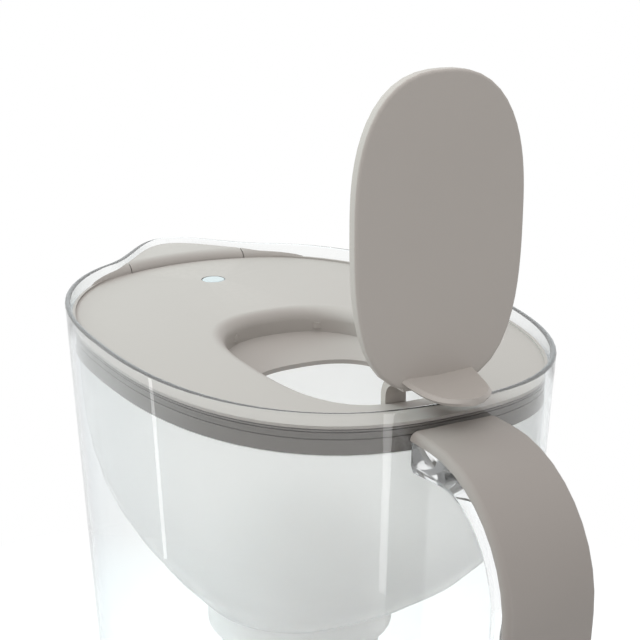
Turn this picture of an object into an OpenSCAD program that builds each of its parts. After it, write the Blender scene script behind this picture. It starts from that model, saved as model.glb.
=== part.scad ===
// Water filter pitcher with a flip lid: clear jug, lift-out funnel with a filter cartridge,
// lid with a hinged fill flap, a hinged pouring flap and a filter-change indicator.
// Millimetres, +Z up. The origin is the middle of the foot, on the surface the pitcher stands on.
// The handle is at +X, the pouring spout at -X, and the object is the same on both sides of Y = 0.
// At rest the fill flap stands open and every other moving piece is at its seat.

/* [Jug] */
// Height of the rim above the surface
jug_h = 272; // [255:1:290]
// Length of the rim, without the spout
rim_len = 204.6; // [198:0.2:212]
// Width of the rim
rim_w = 148.8; // [142:0.2:154]
// How far the widest place lies behind the middle
widest_back = 3.3; // [2:0.1:6]
// Roundness power of the handle end of the outline
handle_end_power = 2.5; // [2.4:0.05:2.7]
// Roundness power of the spout end of the outline
spout_end_power = 2.3; // [2.2:0.05:2.45]
// Wall thickness of the jug
wall = 1.9; // [1.7:0.1:2.6]
// Inward slope of the wall for each millimetre of height
draft = 0.045; // [0.035:0.005:0.05]
// Thickness of the jug's floor
floor_t = 3.4; // [2.4:0.1:5]
// How far the spout stands out at the rim
spout_reach = 21; // [17:0.5:24]
// Half the width of the spout at the rim
spout_half_w = 35.5; // [32:0.5:38]
// Height of the spout
spout_h = 58; // [45:1:80]

/* [Handle] */
// Width of the handle's cover
grip_w = 31; // [26:0.5:36]
// Thickness of the cover
cover_t = 3.2; // [2.6:0.1:4]
// Thickness of the clear spine under the cover
spine_t = 8.8; // [6.5:0.1:10.5]
// Depth of the handle's top below the rim
grip_drop = 6.8; // [5:0.1:12]
// Length of the level stretch between the wall and the upper bend
grip_level = 9.4; // [5:0.1:16]
// Outer radius of the upper bend
upper_bend_r = 41.5; // [36:0.5:48]
// Length of the straight grip between the bends
grip_len = 55; // [40:1:70]
// Outer radius of the lower bend
lower_bend_r = 34; // [28:0.5:40]
// Slope of the handle's foot where it meets the wall, in degrees below level
foot_slope = 20; // [10:1:30]

/* [Foot pad] */
// Height of the soft foot pad's wall
pad_h = 5.5; // [4:0.1:8]
// Thickness of the foot pad's wall
pad_wall_t = 2.4; // [1.8:0.1:3]
// Thickness of the foot pad under the jug
pad_sole_t = 1.4; // [1.2:0.1:2]
// Distance of the pad's groove from its edge
pad_groove_in = 14; // [8:0.5:20]

/* [Lid] */
// Depth of the lid's top below the rim
lid_drop = 5.2; // [4.9:0.1:6]
// Thickness of the lid's top
lid_t = 2; // [1.6:0.1:2.4]
// Height of the lid's edge, top to skirt bottom
lid_edge_h = 8.6; // [7.8:0.1:10]
// Thickness of the skirt
skirt_t = 1.8; // [1.4:0.1:2.4]
// Gap between the lid and the jug's wall
lid_gap = 0.35; // [0.3:0.05:0.7]
// Height of the raised crescent at the spout end
crest_h = 3.4; // [2.8:0.1:4]
// Width of the low lip along the lid's edge
lip_w = 1; // [0.8:0.1:1.4]
// Height of that lip
lip_h = 0.7; // [0.5:0.1:1.2]
// Radius of the crescent's inner edge, seen from above
crest_r = 73.4; // [70:0.2:78]
// Distance of the crescent's inner edge from the spout end of the rim, without the spout
crest_in = 3.7; // [3:0.1:4.4]
// Width over which the crescent's inner face rolls up to its top
crest_roll = 5; // [4:0.1:6]
// Width of the pouring flap
pour_flap_w = 49.4; // [42:0.2:54]

/* [Fill flap] */
// Width of the fill flap
flap_w = 58.6; // [52:0.2:62]
// Length of the fill flap
flap_len = 96.1; // [86:0.1:98]
// Thickness of the fill flap at its edge
flap_t = 4.7; // [4:0.1:5.4]
// Skin of the hollow fill flap
flap_skin = 1.8; // [1.4:0.1:2.2]
// Gap between the closed flap and the edge of the fill opening
flap_gap = 1; // [0.8:0.1:1.4]
// Distance of the flap's hinge axis from the handle end of the rim
hinge_in = 14.2; // [13.7:0.1:14.7]
// Depth of the hinge axis below the lid's top
hinge_drop = 4.9; // [4.7:0.1:5.2]
// Diameter of the flap's hinge pin
hinge_pin_d = 2.5; // [2:0.1:2.8]
// Reach of the thumb tab beyond the flap
tab_reach = 18.5; // [14:0.5:20]
// Width of the thumb tab at its root
tab_w = 26.2; // [20:0.2:30]
// Depth of the fill opening's chute below the lid's top
chute_h = 13.9; // [13:0.1:15.6]

/* [Indicator] */
// Diameter of the indicator's lens
lens_d = 9.1; // [7:0.1:11]
// Distance of the lens from the spout end of the rim, without the spout
lens_in = 32; // [29:0.5:35]
// Diameter of the housing under the lid
housing_d = 23; // [22:0.5:25]
// Height of the housing
housing_h = 12.7; // [12.4:0.1:16]
// Travel of the lens as a button
lens_travel = 0.6; // [0.4:0.1:0.8]
// Length of the electrodes below the housing
electrode_len = 16; // [10:1:24]

/* [Funnel] */
// Depth of the funnel's floor below the rim
funnel_depth = 104; // [96:1:112]
// Wall of the funnel
funnel_t = 1.8; // [1.4:0.1:2.4]
// Gap between the funnel's collar and the jug's wall
funnel_gap = 0.4; // [0.3:0.05:0.7]
// Width of the pouring channel behind the funnel
channel_w = 11; // [9:0.5:14]
// Height of the funnel's upright collar
collar_h = 15; // [10:0.5:22]
// Diameter of the cartridge socket's bore
socket_d = 63; // [60:0.5:66]
// Length of the socket below the funnel's floor
socket_h = 13; // [9:0.5:18]
// Place of the socket along the pitcher
socket_x = 2; // [-2:0.5:5]

/* [Cartridge] */
// Diameter of the cartridge just below its flange
cartridge_d = 61; // [57:0.5:61.5]
// Length of the cartridge below the funnel's floor
cartridge_len = 74; // [60:1:86]
// Height of the cartridge's cap above the funnel's floor
cap_h = 30; // [24:1:36]
// Wall of the cartridge
cartridge_t = 1.6; // [1.2:0.1:2.2]
// Thickness of the cartridge's seal
seal_t = 2; // [1.6:0.1:2.8]

/* [Hidden] */

// Points round each outline, and facets of round parts
ring_n = 120;
spout_n = 36;
spout_sector = 50;
flap_n = 64;
$fn = 64;

// Small clearances
run_gap = 0.05;
fit_gap = 0.03;
seat_gap = 0.3;
cut = 0.5;

// Rounding of the rim and levels of the spout
rim_round = wall / 2 - 0.15;
spout_steps = 6;

// Plan sizes measured from the widest place
front_l = rim_len / 2 + widest_back;
back_l = rim_len / 2 - widest_back;
half_w = rim_w / 2;

// Levels
lid_z = jug_h - lid_drop;
lid_under_z = lid_z - lid_t;
skirt_z = lid_z - lid_edge_h;
crest_z = lid_z + crest_h;
collar_z = skirt_z - seat_gap;
collar_low_z = collar_z - collar_h;
funnel_floor_z = jug_h - funnel_depth;
flange_d = socket_d + 6;

function ease(t) = t <= 0 ? 0 : t >= 1 ? 1 : t * t * (3 - 2 * t);
function mix(a, b, t) = a + (b - a) * t;

// One point of a long rounded outline about the widest place
function oval_point(a, front, back, half, front_power, back_power) =
    let (c = cos(a), s = sin(a))
    let (power = c > 0 ? front_power : back_power, reach = c > 0 ? front : back)
    let (r = pow(pow(abs(c) / reach, power) + pow(abs(s) / half, power), -1 / power))
    [r * c, r * s];

// How far the spout pushes the outline out at the distance y from the middle
function spout_bulge(y, reach, half) =
    abs(y) < half ? reach * (1 + cos(180 * y / half)) / 2 : 0;

// How far the jug's wall has moved in at the height z, and how far its spout stands out
function wall_in(z) = draft * (jug_h - z);
function spout_at(z) =
    let (s = spout_steps * max(0, min(1, (z - jug_h + spout_h) / (spout_h - rim_round))))
    let (i = min(spout_steps - 1, floor(s)))
    spout_reach * mix(ease(i / spout_steps), ease((i + 1) / spout_steps), s - i);

// The jug's plan outline moved inward by inset, shortened at either end by trim,
// with its points closer together round the spout
function ring_angle(i) =
    let (plain = (ring_n - spout_n) / 2, half_sector = spout_sector / 2)
    i < plain ? (180 - half_sector) * i / plain
        : i < plain + spout_n ? 180 - half_sector + spout_sector * (i - plain) / spout_n
        : 180 + half_sector + (180 - half_sector) * (i - plain - spout_n) / plain;
function outline(inset, reach = 0, back_trim = 0, front_trim = 0) = [
    for (i = [0 : ring_n - 1])
        let (p = oval_point(ring_angle(i), front_l - inset - front_trim,
                            back_l - inset - back_trim, half_w - inset,
                            handle_end_power, spout_end_power))
        let (bulge = p[0] < 0 ? spout_bulge(p[1], reach, spout_half_w - 0.8 * inset) : 0)
        [p[0] - widest_back - bulge, p[1]]
];
function raised(points, z) = [for (p = points) [p[0], p[1], z]];
function jug_ring(z, inset = 0) = raised(outline(wall_in(z) + inset, spout_at(z)), z);

// A solid skinned over rings of equally many points, listed from its low end to its high end
module loft(rings) {
    n = len(rings[0]);
    last = len(rings) - 1;
    sides = [
        for (j = [0 : last - 1], i = [0 : n - 1])
            let (k = (i + 1) % n)
            each [
                [j * n + i, (j + 1) * n + i, (j + 1) * n + k],
                [j * n + i, (j + 1) * n + k, j * n + k]
            ]
    ];
    low_cap = [for (i = [0 : n - 1]) i];
    high_cap = [for (i = [0 : n - 1]) last * n + n - 1 - i];
    polyhedron([for (ring = rings) each ring], concat([low_cap], sides, [high_cap]));
}

// ---- Jug ----

foot_z = pad_sole_t;
foot_round = 1.4;
floor_z = foot_z + floor_t;
floor_round = 9;
pad_gap = 0.1;
pad_top_z = pad_h + pad_gap;
round_steps = 3;

spout_levels = [for (i = [0 : spout_steps]) mix(jug_h - spout_h, jug_h - rim_round, i / spout_steps)];

// Ring of the jug's foot, which stands inside the pad's wall
function foot_ring(z, inset) = raised(outline(wall_in(0) + pad_wall_t + pad_gap + inset), z);

// Outer skin of the jug, "out" larger all round
function jug_skin(out = 0) = concat(
    [
        foot_ring(foot_z, foot_round - out),
        foot_ring(foot_z + foot_round, -out),
        foot_ring(pad_top_z, -out),
        jug_ring(pad_top_z + 0.2, -out)
    ],
    [for (z = spout_levels) jug_ring(z, -out)],
    [
        for (i = [1 : round_steps])
            let (a = 90 * i / round_steps)
            jug_ring(jug_h - rim_round * (1 - sin(a)), rim_round * (1 - cos(a)) - out)
    ]
);

// The space inside the jug
function jug_space() = concat(
    [
        for (i = [0 : 4])
            let (a = 90 * i / 4)
            jug_ring(floor_z + floor_round * (1 - cos(a)), wall + floor_round * (1 - sin(a)))
    ],
    [for (z = spout_levels) jug_ring(z, wall)],
    [
        for (i = [1 : round_steps])
            let (a = 90 * i / round_steps)
            jug_ring(jug_h - rim_round * (1 - sin(a)), wall - rim_round * (1 - cos(a)))
    ],
    [jug_ring(jug_h + cut, wall - rim_round)]
);

module jug_body() {
    color([0.9, 0.95, 0.96, 0.4])
    difference() {
        union() {
            loft(jug_skin());
            loft([
                for (i = [0 : len(handle_path) - 1])
                    path_ring(handle_path[i], deepened(spine_section, web_depth(i)))
            ]);
        }
        loft(jug_space());
    }
}

// ---- Handle ----

wall_lean = atan(draft);
grip_top_z = jug_h - grip_drop;
grip_wall_x = front_l - widest_back;
grip_bury = 2;
upper_x = grip_wall_x + grip_level;
upper_z = grip_top_z - upper_bend_r;
run_x = upper_x + upper_bend_r * cos(wall_lean) - grip_len * sin(wall_lean);
run_z = upper_z - upper_bend_r * sin(wall_lean) - grip_len * cos(wall_lean);
lower_x = run_x - lower_bend_r * cos(wall_lean);
lower_z = run_z + lower_bend_r * sin(wall_lean);
foot_turn = 90 - foot_slope;
foot_start_x = lower_x + lower_bend_r * cos(foot_turn);
foot_start_z = lower_z - lower_bend_r * sin(foot_turn);
foot_run = (foot_start_x - grip_wall_x + wall_in(foot_start_z) + grip_bury) / cos(foot_slope);
bend_steps = 10;

// Points along the handle's outer face: x, z and the outward direction in degrees
function bend_point(x, z, r, a) = [x + r * cos(a), z + r * sin(a), a];
handle_path = concat(
    [[grip_wall_x - grip_bury, grip_top_z, 90]],
    [for (i = [0 : bend_steps]) bend_point(upper_x, upper_z, upper_bend_r, mix(90, -wall_lean, i / bend_steps))],
    [for (i = [0 : bend_steps]) bend_point(lower_x, lower_z, lower_bend_r, mix(-wall_lean, -foot_turn, i / bend_steps))],
    [[foot_start_x - foot_run * cos(foot_slope), foot_start_z - foot_run * sin(foot_slope), -foot_turn]]
);

// Sections across the handle: y and depth below the outer face, listed round the section
cover_round = 2.6;
cover_crown = 0.3;
spine_round = 2.8;
spine_side_in = 0.8;
spine_gap = 0.15;
function corner(y, d, r, from, to, steps) = [
    for (i = [0 : steps])
        let (a = mix(from, to, i / steps))
        [y + r * cos(a), d + r * sin(a)]
];
cover_half = grip_w / 2;
cover_section = concat(
    corner(cover_half - cover_round, -cover_round - cover_crown, cover_round, 0, 80, 3),
    [[0, 0]],
    corner(cover_round - cover_half, -cover_round - cover_crown, cover_round, 100, 180, 3),
    [[-cover_half, -cover_t], [cover_half, -cover_t]]
);
spine_half = cover_half - spine_side_in;
spine_top = -cover_t - spine_gap;
spine_low = -cover_t - spine_t;
spine_section = concat(
    [[spine_half, spine_top], [-spine_half, spine_top]],
    corner(spine_round - spine_half, spine_low + spine_round, spine_round, 180, 270, 2),
    corner(spine_half - spine_round, spine_low + spine_round, spine_round, 270, 360, 2)
);

function path_ring(p, section, narrow = 1) =
    [for (s = section) [p[0] + s[1] * cos(p[2]), s[0] * narrow, p[1] + s[1] * sin(p[2])]];

// The spine is deeper close to the wall, as a web under the rim
web_share = 0.35;
web_steps = 4;
function web_depth(i) = 1 + web_share * pow(max(0, 1 - i / web_steps), 1.5);
function deepened(section, share) = [
    for (s = section)
        [s[0], spine_top + (s[1] - spine_top) * share]
];

// The cover ends in a rounded tongue part of the way along the handle's foot
tongue_len = 12;
tongue_steps = 4;
module handle_cover() {
    foot_last = len(handle_path) - 2;
    start = handle_path[foot_last];
    tongue = [
        for (i = [1 : tongue_steps])
            let (t = sin(90 * i / tongue_steps) * tongue_len)
            let (p = [start[0] - t * cos(foot_slope), start[1] - t * sin(foot_slope), start[2]])
            path_ring(p, cover_section, mix(0.45, 1, sqrt(1 - pow(i / tongue_steps, 2))))
    ];
    color([0.62, 0.585, 0.555])
    difference() {
        loft(concat(
            [for (i = [0 : foot_last]) path_ring(handle_path[i], cover_section)],
            tongue
        ));
        loft(jug_skin(seat_gap));
    }
}

// ---- Foot pad ----

pad_groove_w = 1.4;
pad_groove_deep = 0.5;
module foot_pad() {
    color([0.6, 0.57, 0.54])
    difference() {
        linear_extrude(pad_h)
            polygon(outline(wall_in(0)));
        translate([0, 0, pad_sole_t])
            linear_extrude(pad_h)
                polygon(outline(wall_in(0) + pad_wall_t));
        for (inset = [pad_groove_in, pad_groove_in + 3 * pad_groove_w])
            translate([0, 0, -cut])
                linear_extrude(pad_groove_deep + cut)
                    difference() {
                        polygon(outline(wall_in(0) + inset));
                        polygon(outline(wall_in(0) + inset + pad_groove_w));
                    }
    }
}

// ---- Funnel ----

funnel_inset = wall + funnel_gap;
hopper_power = 2.3;
floor_margin = 2;
funnel_floor_in = wall_in(funnel_floor_z) + funnel_inset + funnel_t;
hopper_in = half_w - funnel_floor_in - flange_d / 2 - floor_margin;
hopper_front_trim = rim_len / 2 - funnel_floor_in - hopper_in - socket_x - flange_d / 2 - floor_margin;
hopper_steps = 7;
socket_wall = 3;

// One ring of the funnel, "inner" further in all round
function funnel_ring(z, inner = 0) =
    let (t = max(0, (collar_low_z - z) / (collar_low_z - funnel_floor_z)))
    raised(outline(wall_in(z) + funnel_inset + inner + hopper_in * pow(t, hopper_power), 0,
                   channel_w, hopper_front_trim * pow(t, hopper_power)), z);
hopper_levels = [for (i = [0 : hopper_steps]) mix(funnel_floor_z, collar_low_z, i / hopper_steps)];

module funnel() {
    bottom_z = funnel_floor_z - funnel_t;
    bottom_round = 3;
    color([0.93, 0.94, 0.94, 0.7])
    difference() {
        union() {
            loft(concat(
                [raised([for (p = funnel_ring(funnel_floor_z, bottom_round)) [p[0], p[1]]], bottom_z)],
                [for (z = hopper_levels) funnel_ring(z)],
                [funnel_ring(collar_z)]
            ));
            translate([socket_x, 0, funnel_floor_z - socket_h])
                cylinder(d = socket_d + 2 * socket_wall, h = socket_h);
        }
        loft(concat(
            [for (z = hopper_levels) funnel_ring(z, funnel_t)],
            [funnel_ring(collar_z, funnel_t), funnel_ring(collar_z + cut, funnel_t)]
        ));
        translate([socket_x, 0, funnel_floor_z - socket_h - cut])
            cylinder(d = socket_d, h = socket_h + 2 * cut);
    }
}

// ---- Filter cartridge ----

flange_t = 3;
flange_z = funnel_floor_z + seal_t + 0.1;
cartridge_low_z = funnel_floor_z - cartridge_len;
cartridge_low_d = cartridge_d - 5;
mesh_t = 1;
mesh_gap = 0.2;
outlet_d = 5;
outlet_count = 8;
cup_floor_t = 2;
media_top_z = flange_z;

module at_cartridge(z = 0) {
    translate([socket_x, 0, z]) children();
}

module cartridge_housing() {
    r_top = cartridge_d / 2;
    r_low = cartridge_low_d / 2;
    color([0.9, 0.9, 0.89])
    difference() {
        at_cartridge()
            rotate_extrude()
                polygon([
                    [0, cartridge_low_z],
                    [r_low - 3, cartridge_low_z],
                    [r_low, cartridge_low_z + 3],
                    [r_top, flange_z],
                    [flange_d / 2, flange_z],
                    [flange_d / 2, flange_z + flange_t],
                    [r_top - cartridge_t, flange_z + flange_t],
                    [r_top - cartridge_t, flange_z],
                    [r_low - cartridge_t, cartridge_low_z + 3],
                    [r_low - cartridge_t, cartridge_low_z + cup_floor_t],
                    [0, cartridge_low_z + cup_floor_t]
                ]);
        for (i = [0 : outlet_count - 1])
            at_cartridge(cartridge_low_z - cut)
                rotate([0, 0, 360 * i / outlet_count])
                    translate([r_low * 0.6, 0, 0])
                        cylinder(d = outlet_d, h = cup_floor_t + 2 * cut);
    }
}

module cartridge_seal() {
    color([0.25, 0.25, 0.26])
    at_cartridge(funnel_floor_z + 0.05)
        difference() {
            cylinder(d = flange_d - 0.6, h = seal_t);
            translate([0, 0, -cut])
                cylinder(d = cartridge_d + 0.6, h = seal_t + 2 * cut);
        }
}

// Domed cap with inlet slots and a pull ring
cap_r = cartridge_d / 2 - cartridge_t - fit_gap;
cap_t = 1.6;
cap_round = 10;
slot_count = 8;
slot_w = 3;
pull_r = 9;
pull_t = 3;
pull_w = 5;
module cartridge_cap() {
    low_z = flange_z + flange_t - 2.4;
    side_z = funnel_floor_z + cap_h - cap_round;
    color([0.94, 0.94, 0.93])
    difference() {
        union() {
            at_cartridge()
                rotate_extrude()
                    difference() {
                        union() {
                            translate([0, low_z]) square([cap_r, side_z - low_z]);
                            translate([0, side_z]) square([cap_r - cap_round, cap_round]);
                            translate([cap_r - cap_round, side_z]) circle(cap_round);
                        }
                        translate([0, low_z - cut]) square([cap_r - cap_t, side_z - low_z + cut]);
                        translate([0, side_z - cut]) square([cap_r - cap_round, cap_round - cap_t + cut]);
                        translate([cap_r - cap_round, side_z]) circle(cap_round - cap_t);
                        translate([-2 * cap_r, side_z - 2 * cap_round]) square([2 * cap_r, 4 * cap_round]);
                    }
            at_cartridge(funnel_floor_z + cap_h - cap_t)
                translate([0, pull_w / 2, 0])
                    rotate([90, 0, 0])
                        difference() {
                            cylinder(r = pull_r, h = pull_w);
                            translate([0, 0, -cut]) cylinder(r = pull_r - pull_t, h = pull_w + 2 * cut);
                            translate([-2 * pull_r, -4 * pull_r, -cut]) cube([4 * pull_r, 4 * pull_r, pull_w + 2 * cut]);
                        }
        }
        for (i = [0 : slot_count - 1])
            at_cartridge(side_z - 8)
                rotate([0, 0, 360 * (i + 0.5) / slot_count])
                    translate([cap_r - 3 * cap_t, -slot_w / 2, 0])
                        cube([5 * cap_t, slot_w, 10]);
    }
}

module inlet_mesh() {
    color([0.8, 0.82, 0.84])
    at_cartridge(flange_z + mesh_gap)
        cylinder(r = cap_r - cap_t - mesh_gap, h = mesh_t);
}

module outlet_mesh() {
    color([0.8, 0.82, 0.84])
    at_cartridge(cartridge_low_z + cup_floor_t + mesh_gap / 2)
        cylinder(r = cartridge_low_d / 2 - cartridge_t - mesh_gap, h = mesh_t);
}

module filter_media() {
    low_z = cartridge_low_z + cup_floor_t + mesh_gap + mesh_t + 0.1;
    color([0.16, 0.15, 0.14])
    at_cartridge(low_z)
        cylinder(r1 = cartridge_low_d / 2 - cartridge_t - mesh_gap,
                 r2 = cartridge_d / 2 - cartridge_t - 2 * mesh_gap,
                 h = media_top_z - low_z);
}

// ---- Lid ----

// The lid's outline fits the jug's inner wall at the level of the skirt's lower edge
lid_inset = wall_in(skirt_z) + wall + lid_gap;
lid_reach = spout_at(skirt_z);
top_out = draft * (lid_under_z - skirt_z);
crest_centre_x = crest_r - rim_len / 2 + crest_in;
pour_gap = 0.45;
pour_hinge_x = crest_centre_x - crest_r - 1.7;
pour_hinge_z = lid_z - 0.4;
pour_pin_d = 1.6;
pour_boss_r = 1.5;
pour_lug_y = 12;
pour_lug_w = 4;
pour_web_low = 2.1;
pour_web_t = 1.6;
pour_web_l = 7.6;
pour_web_end = 2;
pour_ear_w = 3;
pour_t = 2.4;
pour_wall_gap = 0.9;
pour_low_z = lid_z - 0.4;
pour_inset = wall_in(pour_low_z) + wall + pour_wall_gap;
pour_reach = spout_at(pour_low_z);
groove_h = 0.4;
lip_bury = 0.3;
groove_deep = 0.5;
groove_drops = [0.6, 1.5, 3.8];

// Fill flap, hinge and opening sizes in plan
hinge_x = rim_len / 2 - hinge_in;
hinge_z = lid_z - hinge_drop;
flap_face_x = hinge_x + hinge_drop;
flap_low_z = hinge_z + 10.7;
flap_tip_share = 0.45;
flap_tip_power = 2.5;
flap_root_power = 2.9;
flap_tip_l = flap_len * flap_tip_share;
flap_root_l = flap_len - flap_tip_l;
closed_root_x = hinge_x - (flap_low_z - hinge_z);
closed_mid_x = closed_root_x - flap_root_l;
root_room = 5.2;
opening_root_l = flap_root_l + flap_gap + root_room;

// Arms: two goosenecks from the flap's inner face, round the lid's edge, to the hinge pin
arm_w = 7.4;
arm_y = 8.6;
arm_t = 2.6;
arm_reach = 7.7;
arm_bend = 6.2;
arm_rise = flap_low_z + 2.4 - hinge_z - arm_bend;
arm_side_gap = 0.3;
boss_r = hinge_pin_d / 2 + 1.3;
sweep_r = norm([arm_reach, arm_rise + arm_bend]) + arm_t / 2;

// Ring of the fill opening at the height z, "out" larger all round
function opening_ring(z, out, widen = 0) = [
    for (i = [0 : flap_n - 1])
        let (p = oval_point(360 * i / flap_n, opening_root_l + out, flap_tip_l + flap_gap + out + widen,
                            flap_w / 2 + flap_gap + out + widen, flap_root_power, flap_tip_power))
        [closed_mid_x + p[0], p[1], z]
];

// The opening: rolled edge, upright wall, sloping ledge and hole
roll_w = 5;
roll_h = 4.5;
roll_steps = 5;
ledge_z = lid_z - 8.8;
hole_z = lid_z - chute_h;
hole_in_tip = 19.5;
hole_in_side = 3.3;
hole_in_root = 9;
chute_t = 1.6;
function hole_ring(z, out) = [
    for (i = [0 : flap_n - 1])
        let (p = oval_point(360 * i / flap_n, opening_root_l - hole_in_root + out,
                            flap_tip_l - hole_in_tip + out, flap_w / 2 - hole_in_side + out,
                            flap_root_power, flap_tip_power))
        [closed_mid_x + p[0], p[1], z]
];
function roll_rings(out) = [
    for (i = [0 : roll_steps])
        let (a = 90 * i / roll_steps)
        opening_ring(lid_z - roll_h * (1 - sin(a)), out, roll_w * (1 - cos(a)))
];
chute_skin = concat(
    [hole_ring(hole_z - chute_t, chute_t), opening_ring(ledge_z - chute_t, chute_t)],
    roll_rings(chute_t)
);
chute_space = concat(
    [hole_ring(hole_z - chute_t - cut, 0), hole_ring(hole_z, 0), opening_ring(ledge_z, 0)],
    roll_rings(0),
    [opening_ring(lid_z + 2 * cut, 0, roll_w)]
);

// A solid between two levels over the lid's outline
module lid_slab(z0, z1, inset = 0, reach = lid_reach) {
    translate([0, 0, z0])
        linear_extrude(z1 - z0)
            polygon(outline(lid_inset + inset, reach));
}

// Everything inside the crescent's inner face, from z_low upwards
module inside_crescent(z_low) {
    roll_steps_up = 6;
    translate([crest_centre_x, 0, 0])
        rotate_extrude($fn = 180)
            polygon(concat(
                [[0, z_low], [crest_r, z_low]],
                [
                    for (i = [0 : roll_steps_up])
                        let (a = 90 * i / roll_steps_up)
                        [crest_r + crest_roll * (1 - cos(a)), lid_z + crest_h * sin(a)]
                ],
                [[crest_r + crest_roll, crest_z + 2 * cut], [0, crest_z + 2 * cut]]
            ));
}

// The part of the spout end that belongs to the pouring flap, "grow" larger all round
module pour_zone(z0, z1, grow) {
    translate([0, 0, z0])
        linear_extrude(z1 - z0)
            difference() {
                translate([-rim_len, -pour_flap_w / 2 - grow])
                    square([rim_len, pour_flap_w + 2 * grow]);
                translate([crest_centre_x, 0])
                    circle(crest_r - grow, $fn = 180);
            }
}

hinge_half = arm_y + arm_w / 2 + arm_side_gap;
lug_w = 3.4;
lug_side = 3.2;
lug_low = 3.2;
indicator_x = lens_in - rim_len / 2;
lens_hole_gap = 0.2;
bump_r = 2.2;
bump_h = 2.2;
bump_out = 0.6;
bump_y = 17;

// Inner skirt behind the pouring channel, which seats the lid on the funnel
module channel_skirt() {
    inset = wall_in(skirt_z) + funnel_inset;
    translate([0, 0, skirt_z])
        linear_extrude(lid_z - lid_t / 2 - skirt_z)
            intersection() {
                difference() {
                    polygon(outline(inset, 0, channel_w));
                    polygon(outline(inset + skirt_t, 0, channel_w));
                }
                translate([-rim_len, -half_w]) square([rim_len * 0.63, rim_w]);
            }
}

module hinge_lugs() {
    inner = arm_y - arm_w / 2 - arm_side_gap;
    for (span = [[-inner, inner], [hinge_half, hinge_half + lug_w], [-hinge_half - lug_w, -hinge_half]])
        translate([hinge_x - lug_side, span[0], hinge_z - lug_low])
            cube([2 * lug_side, span[1] - span[0], lid_z - lid_t / 2 - hinge_z + lug_low]);
}

// Room in which the arms turn under the lid's top
module arm_slots() {
    for (y = [-arm_y, arm_y]) {
        translate([hinge_x - sweep_r - seat_gap, y - arm_w / 2 - arm_side_gap, hole_z - chute_t - cut])
            cube([sweep_r + seat_gap, arm_w + 2 * arm_side_gap, lid_under_z - hole_z + chute_t + cut]);
        translate([hinge_x, y + arm_w / 2 + arm_side_gap, hinge_z])
            rotate([90, 0, 0])
                cylinder(r = boss_r + seat_gap, h = arm_w + 2 * arm_side_gap);
    }
}

module catch_bumps() {
    half = flap_w / 2 + flap_gap;
    wall_x = closed_mid_x
        - (flap_tip_l + flap_gap) * pow(1 - pow(bump_y / half, flap_tip_power), 1 / flap_tip_power);
    for (y = [-bump_y, bump_y])
        translate([wall_x - bump_r * 0.9 + bump_out, y * (1 + bump_r * 0.5 / half), ledge_z + 1.4])
            cylinder(r = bump_r, h = bump_h);
}

// Two lugs that carry the pouring flap's pin, on webs that reach out under the lid's edge
module pour_lugs() {
    for (y = [-pour_lug_y - pour_lug_w, pour_lug_y]) {
        translate([pour_hinge_x, y + pour_lug_w, pour_hinge_z])
            rotate([90, 0, 0])
                cylinder(r = pour_boss_r, h = pour_lug_w);
        translate([pour_hinge_x - pour_boss_r, y, lid_under_z - pour_web_low]) {
            cube([2 * pour_boss_r - seat_gap, pour_lug_w, pour_hinge_z - lid_under_z + pour_web_low]);
            cube([pour_web_l, pour_lug_w, pour_web_t]);
            translate([pour_web_l - pour_web_end, 0, 0])
                cube([pour_web_end, pour_lug_w, pour_web_low + pour_web_t / 2]);
        }
    }
}

module lid_shell() {
    color([0.78, 0.77, 0.74])
    difference() {
        union() {
            difference() {
                union() {
                    lid_slab(lid_under_z, crest_z, -top_out);
                    difference() {
                        lid_slab(skirt_z, lid_under_z + cut);
                        lid_slab(skirt_z - cut, lid_under_z + 2 * cut, skirt_t);
                    }
                    channel_skirt();
                    loft(chute_skin);
                    hinge_lugs();
                }
                inside_crescent(lid_z);
                translate([crest_centre_x, -rim_w, lid_z])
                    cube([rim_len, 2 * rim_w, crest_h + cut]);
                loft(chute_space);
                arm_slots();
                pour_zone(skirt_z - cut, crest_z + cut, pour_gap);
                // grooves round the lid's edge
                for (drop = groove_drops)
                    difference() {
                        lid_slab(lid_z - drop, lid_z - drop + groove_h, -1);
                        lid_slab(lid_z - drop - cut, lid_z - drop + groove_h + cut, groove_deep);
                    }
            }
            // low lip along the edge
            difference() {
                lid_slab(lid_z - lip_bury, lid_z + lip_h, -top_out);
                lid_slab(lid_z - lip_bury - cut, lid_z + lip_h + cut, lip_w - top_out);
                pour_zone(skirt_z - cut, crest_z + cut, pour_gap);
            }
            catch_bumps();
            pour_lugs();
        }
        // bores for the hinge pins and the hole for the lens
        translate([hinge_x, hinge_half + lug_w + cut, hinge_z])
            rotate([90, 0, 0])
                cylinder(d = hinge_pin_d + 2 * fit_gap, h = 2 * (hinge_half + lug_w + cut));
        translate([pour_hinge_x, rim_w / 4, pour_hinge_z])
            rotate([90, 0, 0])
                cylinder(d = pour_pin_d + 2 * fit_gap, h = rim_w / 2);
        translate([indicator_x, 0, lid_under_z - cut])
            cylinder(d = lens_d + 2 * lens_hole_gap, h = lid_t + 2 * cut);
    }
}

// ---- Fill flap, modelled standing open ----

edge_round = 1;
face_crown = 0.8;
function flap_ring(x, inset) = [
    for (i = [0 : flap_n - 1])
        let (p = oval_point(-360 * i / flap_n, flap_tip_l - inset, flap_root_l - inset,
                            flap_w / 2 - inset, flap_tip_power, flap_root_power))
        [x, p[1], flap_low_z + flap_root_l + p[0]]
];

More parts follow.
